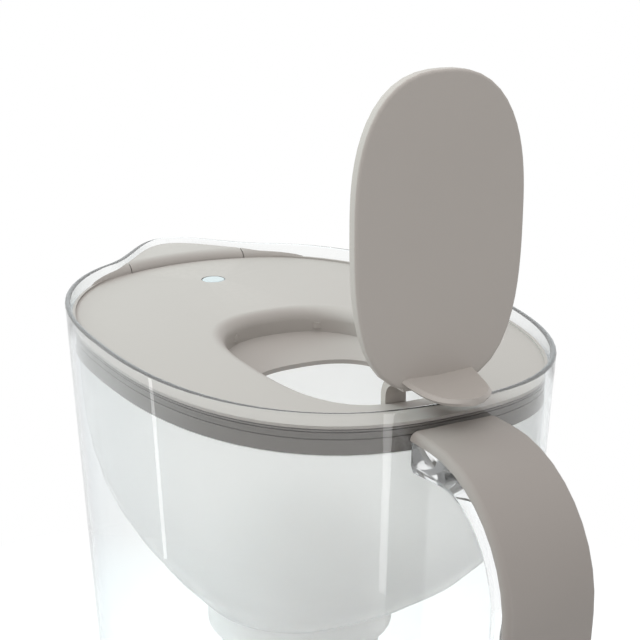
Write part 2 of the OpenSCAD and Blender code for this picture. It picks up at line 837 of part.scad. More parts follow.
// Thumb tab: a scooped tongue that leaves the outer face and bends down over the rim
tab_steps = 9;
tab_t = 2.2;
tab_root_z = flap_low_z + 5.3;
tab_tip_z = flap_low_z + 3.2;
tab_bury = 1.2;
tab_narrow = 0.24;
function tab_half(t) = tab_w / 2 * (1 - tab_narrow * t) * pow(1 - pow(t, 5), 0.5);
function tab_top(t) = tab_tip_z + (tab_root_z - tab_tip_z) * pow(1 - t, 2);
function tab_ring(t) =
    let (x = flap_face_x - tab_bury + (tab_reach + tab_bury) * t)
    let (w = max(1.6, tab_half(t)), top = tab_top(t), r = tab_t / 2)
    [
        [x, w - r, top - tab_t], [x, w, top - r], [x, w - r, top],
        [x, 0, top - 0.5 * (1 - t)],
        [x, r - w, top], [x, -w, top - r], [x, r - w, top - tab_t],
        [x, 0, top - tab_t - 0.5 * (1 - t)]
    ];

module flap_arms() {
    for (y = [-arm_y, arm_y])
        translate([hinge_x, y + arm_w / 2, hinge_z])
            rotate([90, 0, 0])
                linear_extrude(arm_w) {
                    circle(boss_r);
                    translate([-arm_reach, -arm_t / 2]) square([arm_reach, arm_t]);
                    translate([-arm_reach - arm_t / 2, -arm_t / 2]) square([arm_t, arm_rise + arm_t / 2]);
                    translate([arm_bend - arm_reach, arm_rise])
                        difference() {
                            circle(arm_bend + arm_t / 2);
                            circle(arm_bend - arm_t / 2);
                            translate([0, -2 * arm_bend]) square(4 * arm_bend);
                            translate([-2 * arm_bend, -2 * arm_bend]) square([4 * arm_bend, 2 * arm_bend]);
                        }
                    translate([arm_bend - arm_reach - 0.1, arm_rise + arm_bend - arm_t / 2])
                        square([flap_face_x - 1 - hinge_x + arm_reach - arm_bend, arm_t]);
                }
}

module fill_flap() {
    inner_x = flap_face_x - flap_t;
    rim_x = flap_face_x - edge_round;
    color([0.66, 0.63, 0.6])
    difference() {
        union() {
            difference() {
                loft(concat(
                    [flap_ring(inner_x, 0.4), flap_ring(inner_x + 0.4, 0)],
                    [
                        for (i = [0 : 3])
                            let (a = 30 * i)
                            flap_ring(rim_x - face_crown + edge_round * sin(a), edge_round * (1 - cos(a)))
                    ],
                    [
                        for (t = [0.35, 0.7])
                            flap_ring(flap_face_x - face_crown * pow(1 - t, 2), edge_round + 27 * t)
                    ]
                ));
                loft([flap_ring(inner_x - cut, flap_skin), flap_ring(rim_x - face_crown - flap_skin / 2, flap_skin)]);
            }
            loft([for (i = [0 : tab_steps]) tab_ring(sin(90 * i / tab_steps))]);
            flap_arms();
        }
        translate([hinge_x, rim_w / 4, hinge_z])
            rotate([90, 0, 0])
                cylinder(d = hinge_pin_d + 2 * fit_gap, h = rim_w / 2);
    }
}

module fill_flap_pin() {
    color([0.75, 0.76, 0.78])
    translate([hinge_x, hinge_half + lug_w - 0.2, hinge_z])
        rotate([90, 0, 0])
            cylinder(d = hinge_pin_d, h = 2 * (hinge_half + lug_w - 0.2));
}

// ---- Pouring flap ----

pour_skin = 1.6;
module pour_plan(grow) {
    intersection() {
        polygon(outline(pour_inset - grow, pour_reach));
        difference() {
            translate([-rim_len, -pour_flap_w / 2 - grow])
                square([rim_len, pour_flap_w + 2 * grow]);
            translate([crest_centre_x, 0])
                circle(crest_r - grow, $fn = 180);
        }
    }
}

module pour_flap() {
    ear_y = pour_lug_y + pour_lug_w + seat_gap;
    low_z = pour_low_z;
    color([0.78, 0.77, 0.74])
    difference() {
        union() {
            difference() {
                translate([0, 0, low_z])
                    linear_extrude(crest_z - low_z)
                        pour_plan(0);
                inside_crescent(lid_z - 3);
                translate([0, 0, low_z - cut])
                    linear_extrude(crest_z - pour_t - low_z + cut)
                        pour_plan(-pour_skin);
            }
            for (y = [-ear_y - pour_ear_w, ear_y]) {
                translate([pour_hinge_x, y + pour_ear_w, pour_hinge_z])
                    rotate([90, 0, 0])
                        cylinder(r = pour_boss_r, h = pour_ear_w);
                translate([pour_hinge_x - pour_boss_r, y, pour_hinge_z])
                    cube([2 * pour_boss_r, pour_ear_w, crest_z - pour_t / 2 - pour_hinge_z]);
            }
        }
        for (y = [-pour_lug_y - pour_lug_w - seat_gap, pour_lug_y - seat_gap])
            translate([pour_hinge_x, y + pour_lug_w + 2 * seat_gap, pour_hinge_z])
                rotate([90, 0, 0])
                    cylinder(r = pour_boss_r + seat_gap, h = pour_lug_w + 2 * seat_gap);
        translate([pour_hinge_x, rim_w / 4, pour_hinge_z])
            rotate([90, 0, 0])
                cylinder(d = pour_pin_d + 2 * fit_gap, h = rim_w / 2);
    }
}

module pour_flap_pin() {
    half = pour_lug_y + pour_lug_w + seat_gap + pour_ear_w - 0.1;
    color([0.75, 0.76, 0.78])
    translate([pour_hinge_x, half, pour_hinge_z])
        rotate([90, 0, 0])
            cylinder(d = pour_pin_d, h = 2 * half);
}

// ---- Indicator ----

housing_wall = 1.6;
lens_flange_d = lens_d + 3.4;
lens_flange_t = 1;
plunger_d = 3.6;
plunger_h = 1.3;
dome_h = 0.9;
board_t = 1.2;
cell_d = 16;
cell_t = 3.2;
cover_plate_t = 2.2;
ledge_t = 0.8;
housing_r = housing_d / 2;
housing_in_r = housing_r - housing_wall;
button_low_z = lid_under_z - run_gap - lens_flange_t - plunger_h;
dome_top_z = button_low_z - lens_travel - run_gap;
board_z = dome_top_z - dome_h - board_t;
cell_z = board_z - 0.1 - cell_t;
housing_low_z = lid_under_z - housing_h;
cover_top_z = housing_low_z + cover_plate_t;
electrode_d = 1.8;
electrode_y = 7.6;

module at_indicator(z = 0) {
    translate([indicator_x, 0, z]) children();
}

module indicator_button() {
    lens_round = 0.5;
    color([0.9, 0.95, 0.94])
    at_indicator()
        rotate_extrude()
            polygon([
                [0, button_low_z],
                [plunger_d / 2, button_low_z],
                [plunger_d / 2, lid_under_z - run_gap - lens_flange_t],
                [lens_flange_d / 2, lid_under_z - run_gap - lens_flange_t],
                [lens_flange_d / 2, lid_under_z - run_gap],
                [lens_d / 2, lid_under_z - run_gap],
                [lens_d / 2, lid_z - lens_round],
                [lens_d / 2 - lens_round * 0.3, lid_z - lens_round * 0.3],
                [lens_d / 2 - lens_round, lid_z],
                [0, lid_z]
            ]);
}

module indicator_housing() {
    color([0.8, 0.8, 0.79])
    at_indicator()
        difference() {
            translate([0, 0, housing_low_z])
                cylinder(r = housing_r, h = housing_h - run_gap);
            translate([0, 0, board_z - run_gap])
                cylinder(r = housing_in_r, h = housing_h);
            translate([0, 0, housing_low_z - cut])
                cylinder(r = housing_in_r, h = board_z - run_gap - ledge_t - housing_low_z + cut);
            translate([0, 0, housing_low_z])
                cylinder(r = cell_d / 2 + 0.5, h = housing_h);
        }
}

seal_r = 0.7;
module indicator_cover() {
    slot = 1.4;
    color([0.72, 0.72, 0.71])
    at_indicator(housing_low_z)
        difference() {
            cylinder(r = housing_in_r - run_gap, h = cover_plate_t);
            translate([0, 0, cover_plate_t / 2])
                rotate_extrude()
                    translate([housing_in_r - run_gap - seal_r, 0])
                        translate([0, -seal_r - fit_gap])
                            square([2 * seal_r, 2 * (seal_r + fit_gap)]);
            translate([-6, -slot / 2, -cut])
                cube([12, slot, cut + 0.9]);
            for (y = [-electrode_y, electrode_y])
                translate([0, y, -cut])
                    cylinder(d = electrode_d + 2 * fit_gap, h = cover_plate_t + 2 * cut);
        }
}

module indicator_seal() {
    color([0.2, 0.2, 0.21])
    at_indicator(housing_low_z + cover_plate_t / 2)
        rotate_extrude()
            translate([housing_in_r - run_gap - seal_r, 0])
                difference() {
                    circle(seal_r);
                    translate([-seal_r - 1, -seal_r - 1]) square([1 + seal_r + fit_gap, 2 * seal_r + 2]);
                }
}

module circuit_board() {
    color([0.15, 0.4, 0.22])
    at_indicator(board_z)
        cylinder(r = housing_in_r - 0.15, h = board_t);
}

module button_dome() {
    color([0.8, 0.81, 0.82])
    at_indicator(board_z + board_t)
        rotate_extrude()
            polygon([[0, 0], [2.6, 0], [2.6, 0.25], [1.7, dome_h], [0, dome_h]]);
}

module status_led() {
    color([0.95, 0.95, 0.85])
    at_indicator(board_z + board_t)
        translate([3.6, -1, 0])
            cube([1.2, 2, 0.8]);
}

module coin_cell() {
    color([0.75, 0.76, 0.77])
    at_indicator(cell_z) {
        cylinder(d = cell_d - 1.2, h = cell_t);
        translate([0, 0, 0.5]) cylinder(d = cell_d, h = cell_t - 0.5);
    }
}

module cell_contact() {
    spring_t = 0.3;
    rise = cell_z - cover_top_z - 0.1;
    color([0.85, 0.75, 0.45])
    at_indicator(cover_top_z + run_gap) {
        cylinder(r = 5.5, h = spring_t);
        for (x = [-4, 2.6])
            translate([x, -1.5, 0]) cube([1.4, 3, rise]);
    }
}

module electrode(y) {
    color([0.72, 0.73, 0.75])
    at_indicator(housing_low_z - electrode_len)
        translate([0, y, 0]) {
            translate([0, 0, electrode_d / 2]) cylinder(d = electrode_d, h = electrode_len + cover_plate_t);
            translate([0, 0, electrode_d / 2]) sphere(d = electrode_d);
        }
}

module electrode_left() { electrode(-electrode_y); }
module electrode_right() { electrode(electrode_y); }

jug_body();
handle_cover();
foot_pad();
funnel();
cartridge_housing();
cartridge_cap();
cartridge_seal();
inlet_mesh();
outlet_mesh();
filter_media();
lid_shell();
fill_flap();
fill_flap_pin();
pour_flap();
pour_flap_pin();
indicator_button();
indicator_housing();
indicator_cover();
indicator_seal();
circuit_board();
status_led();
button_dome();
coin_cell();
cell_contact();
electrode_left();
electrode_right();
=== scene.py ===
"""Finishes a water filter pitcher with a flip lid around its construction model."""

import math

import bpy
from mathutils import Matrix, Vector


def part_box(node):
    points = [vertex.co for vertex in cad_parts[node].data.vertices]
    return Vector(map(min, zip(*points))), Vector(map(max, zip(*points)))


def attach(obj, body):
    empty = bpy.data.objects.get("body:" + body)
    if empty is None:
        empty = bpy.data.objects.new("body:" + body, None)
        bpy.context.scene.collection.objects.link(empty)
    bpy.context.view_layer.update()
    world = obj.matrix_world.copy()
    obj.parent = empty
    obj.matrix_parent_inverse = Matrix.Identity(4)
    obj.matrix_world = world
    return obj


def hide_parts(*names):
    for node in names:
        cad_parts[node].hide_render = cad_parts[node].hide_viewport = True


bl_info = {
    "name": "Water filter pitcher",
    "version": (1, 0, 0),
    "blender": (4, 5, 0),
    "location": "View3D > Sidebar > Pitcher",
    "description": "Finishes a water filter pitcher with a flip lid around its construction model",
    "category": "Add Mesh",
}

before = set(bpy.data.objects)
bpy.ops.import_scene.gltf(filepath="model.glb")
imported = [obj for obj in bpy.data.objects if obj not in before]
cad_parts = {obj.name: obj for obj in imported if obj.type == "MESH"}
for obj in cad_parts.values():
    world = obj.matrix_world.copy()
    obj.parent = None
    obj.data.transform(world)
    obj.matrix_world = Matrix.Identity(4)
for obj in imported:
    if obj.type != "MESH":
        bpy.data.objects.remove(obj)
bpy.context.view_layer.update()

MM = 0.001
# Corners of the construction's triangles that lie closer than this are one corner
MERGE_DISTANCE = 0.002 * MM
# Height of the crescent's top over the lid's flat top
CREST_TO_LID = 3.4 * MM
# Painted shade: the lid's skirt is darkened from this far under its flat top, standing in for the
# shadow in the gap between the lid and the jug wall
SKIRT_DROP = 0.4 * MM
# Share of the lid's half length and half width beyond which the skirt lies and takes the painted
# shade
SKIRT_REACH = 0.88
# The lid's edges are rounded where they lie more than this over its flat top
ROUNDED_FROM = 0.5 * MM
# Width of that rounding
LIP_ROUND = 0.3 * MM
# Share of its light that the floor gives back to the pitcher
FLOOR_LIGHT = 0.5
# Strength of a painted glow: emission in the funnel's colour that brightens the frosted plastic
# where too little light reaches it
PAINTED_FUNNEL_GLOW = 0.03
# Power of the narrow left strip, as a share of the right one's
LEFT_STRIP_SHARE = 0.14
# A ray that has met more shiny surfaces than this is caught inside a clear wall
CAUGHT_DEPTH = 1.5
# Share of the caught light that the wall still bends; the rest goes straight on
CAUGHT_KEPT = 0.9


# ---- Selecting and shaping ----


def only(piece):
    """Makes one piece the active and the only selected object."""
    if bpy.context.object and bpy.context.object.mode != "OBJECT":
        bpy.ops.object.mode_set(mode="OBJECT")
    bpy.ops.object.select_all(action="DESELECT")
    piece.select_set(True)
    bpy.context.view_layer.objects.active = piece


def apply_modifiers(piece):
    """Applies a piece's modifiers in their order."""
    only(piece)
    for modifier in list(piece.modifiers):
        bpy.ops.object.modifier_apply(modifier=modifier.name)


def smooth_by_angle(piece, degrees):
    """Smooth shading between sharp edges, led by the larger faces so that flat walls stay flat."""
    only(piece)
    bpy.ops.object.shade_smooth_by_angle(angle=math.radians(degrees))
    weighted = piece.modifiers.new("weighted normals", "WEIGHTED_NORMAL")
    weighted.mode = "FACE_AREA_WITH_ANGLE"
    weighted.weight = 80
    weighted.keep_sharp = True
    apply_modifiers(piece)


def soften_edges(piece, degrees, above, width):
    """Rounds the sharp edges that lie higher than "above"."""
    only(piece)
    bpy.ops.object.mode_set(mode="EDIT")
    bpy.ops.mesh.select_mode(type="EDGE")
    bpy.ops.mesh.select_all(action="DESELECT")
    bpy.ops.mesh.edges_select_sharp(sharpness=math.radians(degrees))
    bpy.ops.object.mode_set(mode="OBJECT")
    vertices = piece.data.vertices
    for edge in piece.data.edges:
        edge.select = edge.select and all(vertices[v].co.z > above for v in edge.vertices)
    bpy.ops.object.mode_set(mode="EDIT")
    bpy.ops.mesh.bevel(offset=width, segments=3, affect="EDGES", clamp_overlap=True)
    bpy.ops.object.mode_set(mode="OBJECT")


def merged_copy(node_name, piece_name):
    """A copy of a construction node whose loose triangles are joined."""
    piece = bpy.data.objects.new(piece_name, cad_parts[node_name].data.copy())
    bpy.context.scene.collection.objects.link(piece)
    piece.data.materials.clear()
    only(piece)
    bpy.ops.mesh.customdata_custom_splitnormals_clear()
    bpy.ops.object.mode_set(mode="EDIT")
    bpy.ops.mesh.select_all(action="SELECT")
    bpy.ops.mesh.remove_doubles(threshold=MERGE_DISTANCE)
    bpy.ops.object.mode_set(mode="OBJECT")
    return piece


def finish_piece(piece, material, body, slot, *replaced):
    """Gives a piece its finish and its body, and hides the nodes that it stands for; the slot is
    not used.
    """
    piece.data.materials.clear()
    piece.data.materials.append(material)
    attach(piece, body)
    if replaced:
        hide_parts(*replaced)
    return piece


def finish_node(node_name, material):
    """Gives a construction node its detailed finish."""
    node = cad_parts[node_name]
    if not node.material_slots:
        node.data.materials.append(material)
    for place in node.material_slots:
        place.material = material


# ---- Node helpers ----


def add_node(tree, kind, inputs=None, **settings):
    """Adds a node, sets its settings, and sets or links its inputs."""
    node = tree.nodes.new(kind)
    for name, value in settings.items():
        setattr(node, name, value)
    for name, value in (inputs or {}).items():
        if isinstance(value, bpy.types.NodeSocket):
            tree.links.new(value, node.inputs[name])
        else:
            node.inputs[name].default_value = value
    return node


def math_node(tree, operation, first, second=0.0):
    """The result of a math node."""
    return add_node(
        tree, "ShaderNodeMath", {0: first, 1: second}, operation=operation
    ).outputs[0]


def map_range(tree, value, low, high, to_low, to_high):
    """A value moved from one range to another, and held inside it."""
    return add_node(
        tree,
        "ShaderNodeMapRange",
        {"Value": value, "From Min": low, "From Max": high, "To Min": to_low, "To Max": to_high},
    ).outputs["Result"]


def mix_colour(tree, factor, first, second):
    """A colour between the first (factor 0) and the second (factor 1)."""
    inputs = {0: factor, 6: first, 7: second}
    return add_node(tree, "ShaderNodeMix", inputs, data_type="RGBA").outputs[2]


def noise(tree, vector, scale, detail=3.0, roughness=0.5):
    """Fractal noise from about 0.3 to 0.7."""
    return add_node(
        tree,
        "ShaderNodeTexNoise",
        {"Vector": vector, "Scale": scale, "Detail": detail, "Roughness": roughness},
    ).outputs["Fac"]


def new_group(name, inputs, outputs):
    """An empty shader node group with named sockets, given as (name, socket type, default)."""
    group = bpy.data.node_groups.new(name, "ShaderNodeTree")
    for socket_name, kind, default in inputs:
        socket = group.interface.new_socket(socket_name, in_out="INPUT", socket_type=kind)
        if default is not None:
            socket.default_value = default
    for socket_name, kind in outputs:
        group.interface.new_socket(socket_name, in_out="OUTPUT", socket_type=kind)
    entry = group.nodes.new("NodeGroupInput").outputs
    exit_node = group.nodes.new("NodeGroupOutput").inputs
    return group, entry, exit_node


FLOAT = "NodeSocketFloat"
COLOUR = "NodeSocketColor"
VECTOR = "NodeSocketVector"


def moulded_surface_group():
    """Moulded plastic: fine eroded grain, faint flow mottling and slow changes of gloss."""
    group, entry, out = new_group(
        "Moulded surface",
        [
            ("Vector", VECTOR, None),
            ("Colour", COLOUR, (0.8, 0.8, 0.8, 1.0)),
            ("Mottling", FLOAT, 0.03),
            ("Grain Scale", FLOAT, 3200.0),
            ("Roughness", FLOAT, 0.45),
            ("Roughness Spread", FLOAT, 0.06),
        ],
        [("Colour", COLOUR), ("Roughness", FLOAT), ("Height", FLOAT)],
    )
    flow = noise(group, entry["Vector"], 14.0, 2.0)
    cloud = noise(group, entry["Vector"], 90.0, 4.0, 0.6)
    grain = add_node(
        group,
        "ShaderNodeTexVoronoi",
        {"Vector": entry["Vector"], "Scale": entry["Grain Scale"]},
        feature="SMOOTH_F1",
    ).outputs["Distance"]
    fine = noise(group, entry["Vector"], 5200.0, 2.0)
    shade = math_node(
        group,
        "ADD",
        math_node(group, "MULTIPLY", flow, 0.65),
        math_node(group, "MULTIPLY", cloud, 0.35),
    )
    off_centre = math_node(group, "SUBTRACT", shade, 0.5)
    swing = math_node(group, "MULTIPLY", off_centre, entry["Mottling"])
    level = math_node(group, "ADD", math_node(group, "MULTIPLY", swing, 2.0), 1.0)
    mottled = add_node(
        group, "ShaderNodeVectorMath", {0: entry["Colour"], "Scale": level}, operation="SCALE"
    )
    group.links.new(mottled.outputs["Vector"], out["Colour"])
    off_centre = math_node(group, "SUBTRACT", cloud, 0.5)
    swing = math_node(group, "MULTIPLY", off_centre, entry["Roughness Spread"])
    group.links.new(math_node(group, "ADD", entry["Roughness"], swing), out["Roughness"])
    height = math_node(
        group,
        "ADD",
        math_node(group, "MULTIPLY", grain, 0.7),
        math_node(group, "MULTIPLY", fine, 0.3),
    )
    group.links.new(height, out["Height"])
    return group


def hairlines_group():
    """Sparse fine hairlines from wiping and rinsing, as a mask that is 1 on a line."""
    group, entry, out = new_group(
        "Hairlines",
        [("Vector", VECTOR, None), ("Scale", FLOAT, 60.0), ("Amount", FLOAT, 0.3)],
        [("Mask", FLOAT)],
    )
    lines = None
    for turn, stretch in ((25.0, 34.0), (-40.0, 26.0), (80.0, 30.0)):
        placed = add_node(
            group,
            "ShaderNodeMapping",
            {
                "Vector": entry["Vector"],
                "Rotation": (math.radians(turn), math.radians(turn / 2), math.radians(turn)),
                "Scale": (1.0, stretch, stretch),
            },
        )
        streak = noise(group, placed.outputs["Vector"], entry["Scale"], 1.0)
        band = math_node(group, "ABSOLUTE", math_node(group, "SUBTRACT", streak, 0.5))
        line = map_range(group, band, 0.0, 0.004, 1.0, 0.0)
        lines = line if lines is None else math_node(group, "MAXIMUM", lines, line)
    patches = map_range(group, noise(group, entry["Vector"], 22.0, 3.0), 0.52, 0.68, 0.0, 1.0)
    patchy = math_node(group, "MULTIPLY", lines, patches)
    group.links.new(math_node(group, "MULTIPLY", patchy, entry["Amount"]), out["Mask"])
    return group


def edge_wear_group():
    """Mask that is 1 on handled outer edges and broken up by fine noise."""
    group, entry, out = new_group(
        "Edge wear",
        [("Vector", VECTOR, None), ("Start", FLOAT, 0.52), ("End", FLOAT, 0.62)],
        [("Mask", FLOAT)],
    )
    pointed = add_node(group, "ShaderNodeNewGeometry").outputs["Pointiness"]
    edge = add_node(
        group,
        "ShaderNodeMapRange",
        {"Value": pointed, "From Min": entry["Start"], "From Max": entry["End"]},
    ).outputs["Result"]
    broken = map_range(group, noise(group, entry["Vector"], 420.0, 4.0), 0.35, 0.65, 0.35, 1.0)
    group.links.new(math_node(group, "MULTIPLY", edge, broken), out["Mask"])
    return group


def woven_mesh_group():
    """Square weave of fine threads: a mask of the threads and their height."""
    group, entry, out = new_group(
        "Woven mesh",
        [("Vector", VECTOR, None), ("Pitch", FLOAT, 0.0006), ("Thread", FLOAT, 0.55)],
        [("Mask", FLOAT), ("Height", FLOAT)],
    )
    parts = add_node(group, "ShaderNodeSeparateXYZ", {0: entry["Vector"]}).outputs
    heights = []
    for axis in ("X", "Y"):
        turns = math_node(group, "DIVIDE", parts[axis], entry["Pitch"])
        wave = math_node(group, "PINGPONG", turns, 0.5)
        rise = math_node(group, "SUBTRACT", entry["Thread"], wave)
        heights.append(math_node(group, "MULTIPLY", math_node(group, "MAXIMUM", rise, 0.0), 2.0))
    top = math_node(group, "MAXIMUM", heights[0], heights[1])
    group.links.new(top, out["Height"])
    group.links.new(map_range(group, top, 0.1, 0.25, 0.0, 1.0), out["Mask"])
    return group


GROUPS = {}


def group_node(tree, builder, inputs):
    """Places a shared node group, which is built the first time that it is used."""
    if builder.__name__ not in GROUPS:
        GROUPS[builder.__name__] = builder()
    return add_node(tree, "ShaderNodeGroup", inputs, node_tree=GROUPS[builder.__name__]).outputs


def new_material(name):
    """A material with a Principled shader; returns it, its tree, the shader and the coordinates."""
    material = bpy.data.materials.new(name)
    material.use_nodes = True
    tree = material.node_tree
    shader = tree.nodes["Principled BSDF"]
    coordinates = add_node(tree, "ShaderNodeTexCoord").outputs["Object"]
    return material, tree, shader, coordinates


def light_passes(tree, shader, kept, caught_kept):
    """Lets part of the light that crosses a wall, or is caught inside it, go straight on."""
    path = add_node(tree, "ShaderNodeLightPath").outputs
    lighting = math_node(tree, "MAXIMUM", path["Is Shadow Ray"], path["Is Diffuse Ray"])
    caught = math_node(tree, "GREATER_THAN", path["Glossy Depth"], CAUGHT_DEPTH)
    alpha = math_node(
        tree,
        "MINIMUM",
        map_range(tree, lighting, 0.0, 1.0, 1.0, kept),
        map_range(tree, caught, 0.0, 1.0, 1.0, caught_kept),
    )
    tree.links.new(alpha, shader.inputs["Alpha"])


def bump(tree, shader, height, strength, distance):
    """Gives a shader a relief."""
    node = add_node(
        tree,
        "ShaderNodeBump",
        {"Strength": strength, "Distance": distance, "Height": height},
    )
    tree.links.new(node.outputs["Normal"], shader.inputs["Normal"])


# ---- Finishes ----


def scaled(colour, share):
    """A colour times a share, held to what a surface can return, with full alpha."""
    return (*(min(1.0, channel * share) for channel in colour), 1.0)


def moulded_plastic(name, colour, roughness, subsurface=0.0, shaded_below=None):
    """Opaque moulded plastic with fine grain, faint flow marks, hairlines and rubbed edges, and
    with shaded_below a painted shade on the lid's skirt.
    """
    material, tree, shader, place = new_material(name)
    surface = group_node(
        tree,
        moulded_surface_group,
        {
            "Vector": place,
            "Colour": (*colour, 1.0),
            "Mottling": 0.03,
            "Grain Scale": 3200.0,
            "Roughness": roughness,
            "Roughness Spread": 0.08,
        },
    )
    worn = group_node(tree, edge_wear_group, {"Vector": place})["Mask"]
    lines = group_node(
        tree, hairlines_group, {"Vector": place, "Scale": 40.0, "Amount": 0.35}
    )["Mask"]
    rubbed = math_node(tree, "MULTIPLY", worn, 0.25)
    tone = mix_colour(tree, rubbed, surface["Colour"], scaled(colour, 1.25))
    # Painted shade: the skirt below the flat top and near the outline is darkened to a share of the
    # colour, standing in for the shadow between the lid and the jug wall
    if shaded_below:
        level, half_length, half_width, share = shaded_below
        height = add_node(tree, "ShaderNodeSeparateXYZ", {0: place}).outputs["Z"]
        low = map_range(tree, height, level, level + 0.3 * MM, 1.0, 0.0)
        spread = add_node(
            tree,
            "ShaderNodeVectorMath",
            {0: place, 1: (1.0 / half_length, 1.0 / half_width, 0.0)},
            operation="MULTIPLY",
        ).outputs["Vector"]
        reach = add_node(
            tree, "ShaderNodeVectorMath", {0: spread}, operation="LENGTH"
        ).outputs["Value"]
        outer = map_range(tree, reach, SKIRT_REACH, SKIRT_REACH + 0.02, 0.0, 1.0)
        skirt = math_node(tree, "MULTIPLY", low, outer)
        tone = mix_colour(tree, skirt, tone, scaled(colour, share))
    tree.links.new(tone, shader.inputs["Base Color"])
    polish = math_node(tree, "MULTIPLY", rubbed, 0.12)
    gloss = math_node(tree, "SUBTRACT", surface["Roughness"], polish)
    gloss = math_node(tree, "SUBTRACT", gloss, math_node(tree, "MULTIPLY", lines, 0.1))
    tree.links.new(gloss, shader.inputs["Roughness"])
    height = math_node(tree, "SUBTRACT", surface["Height"], math_node(tree, "MULTIPLY", lines, 0.5))
    bump(tree, shader, height, 0.12, 0.05 * MM)
    shader.inputs["IOR"].default_value = 1.48
    if subsurface:
        shader.inputs["Subsurface Weight"].default_value = subsurface
        shader.inputs["Subsurface Radius"].default_value = (2.0 * MM, 1.8 * MM, 1.6 * MM)
        shader.inputs["Subsurface Scale"].default_value = 1.0
    return material


def clear_plastic(name, tint, edge_tint, roughness, shadow_alpha):
    """Clear moulded plastic with greyer edges, faint flow waves, hairlines and a pale shadow."""
    material, tree, shader, place = new_material(name)
    surface = group_node(
        tree,
        moulded_surface_group,
        {
            "Vector": place,
            "Colour": (*tint, 1.0),
            "Mottling": 0.004,
            "Roughness": roughness,
            "Roughness Spread": roughness * 0.5,
        },
    )
    lines = group_node(
        tree, hairlines_group, {"Vector": place, "Scale": 30.0, "Amount": 0.08}
    )["Mask"]
    facing = add_node(tree, "ShaderNodeLayerWeight", {"Blend": 0.5}).outputs["Facing"]
    edge = math_node(tree, "POWER", facing, 3.0)
    tone = mix_colour(tree, edge, surface["Colour"], (*edge_tint, 1.0))
    tree.links.new(tone, shader.inputs["Base Color"])
    tree.links.new(math_node(tree, "ADD", surface["Roughness"], lines), shader.inputs["Roughness"])
    bump(tree, shader, noise(tree, place, 26.0, 1.0), 0.02, 0.4 * MM)
    shader.inputs["Transmission Weight"].default_value = 1.0
    shader.inputs["IOR"].default_value = 1.49
    light_passes(tree, shader, shadow_alpha, CAUGHT_KEPT)
    return material


def frosted_plastic(name, colour, roughness, clearness, shadow_alpha):
    """Milky see-through plastic of the funnel, with a fine sandblasted grain and a faint painted
    glow.
    """
    material, tree, shader, place = new_material(name)
    surface = group_node(
        tree,
        moulded_surface_group,
        {
            "Vector": place,
            "Colour": (*colour, 1.0),
            "Mottling": 0.01,
            "Grain Scale": 2600.0,
            "Roughness": roughness,
            "Roughness Spread": 0.06,
        },
    )
    tree.links.new(surface["Colour"], shader.inputs["Base Color"])
    tree.links.new(surface["Roughness"], shader.inputs["Roughness"])
    bump(tree, shader, surface["Height"], 0.1, 0.05 * MM)
    shader.inputs["Transmission Weight"].default_value = clearness
    shader.inputs["IOR"].default_value = 1.3
    # Painted glow: a faint emission in the funnel's own colour stands in for light that does not
    # reach it
    shader.inputs["Emission Color"].default_value = (*colour, 1.0)
    shader.inputs["Emission Strength"].default_value = PAINTED_FUNNEL_GLOW
    light_passes(tree, shader, shadow_alpha, 0.0)
    return material


def soft_rubber(name, colour):
    """Matt rubber with a fine pebbled skin and pale dust in its hollows."""
    material, tree, shader, place = new_material(name)
    surface = group_node(
        tree,
        moulded_surface_group,
        {
            "Vector": place,
            "Colour": (*colour, 1.0),
            "Mottling": 0.06,
            "Grain Scale": 1500.0,
            "Roughness": 0.72,
            "Roughness Spread": 0.12,
        },
    )
    dust = map_range(tree, noise(tree, place, 260.0, 5.0, 0.65), 0.55, 0.8, 0.0, 0.25)
    dusty = (*(min(1.0, channel * 1.6 + 0.02) for channel in colour), 1.0)
    tree.links.new(mix_colour(tree, dust, surface["Colour"], dusty), shader.inputs["Base Color"])
    tree.links.new(surface["Roughness"], shader.inputs["Roughness"])
    bump(tree, shader, surface["Height"], 0.3, 0.08 * MM)
    return material


def turned_metal(name, colour):
    """Drawn or stamped metal with fine lines along one direction and dulled patches."""
    material, tree, shader, place = new_material(name)
    roughness = 0.28
    drawn = add_node(tree, "ShaderNodeMapping", {"Vector": place, "Scale": (9.0, 0.6, 9.0)})
    lines = noise(tree, drawn.outputs["Vector"], 900.0, 3.0, 0.6)
    tarnish = noise(tree, place, 320.0, 5.0, 0.6)
    dull = map_range(tree, tarnish, 0.45, 0.75, 0.0, 0.5)
    tone = mix_colour(tree, dull, (*colour, 1.0), scaled(colour, 0.72))
    tree.links.new(tone, shader.inputs["Base Color"])
    gloss = math_node(
        tree,
        "ADD",
        map_range(tree, lines, 0.3, 0.7, roughness - 0.06, roughness + 0.06),
        math_node(tree, "MULTIPLY", dull, 0.2),
    )
    tree.links.new(gloss, shader.inputs["Roughness"])
    bump(tree, shader, lines, 0.15, 0.02 * MM)
    shader.inputs["Metallic"].default_value = 1.0
    return material


def woven_filter(name, colour):
    """Fine plastic gauze: pale threads over darker openings."""
    material, tree, shader, place = new_material(name)
    weave = group_node(
        tree, woven_mesh_group, {"Vector": place, "Pitch": 0.9 * MM, "Thread": 0.42}
    )
    stain = map_range(tree, noise(tree, place, 180.0, 4.0), 0.4, 0.75, 0.0, 0.3)
    thread = mix_colour(tree, stain, (*colour, 1.0), scaled(colour, 0.82))
    tone = mix_colour(tree, weave["Mask"], scaled(colour, 0.3), thread)
    tree.links.new(tone, shader.inputs["Base Color"])
    tree.links.new(map_range(tree, stain, 0.0, 0.3, 0.45, 0.6), shader.inputs["Roughness"])
    bump(tree, shader, weave["Height"], 0.6, 0.2 * MM)
    return material


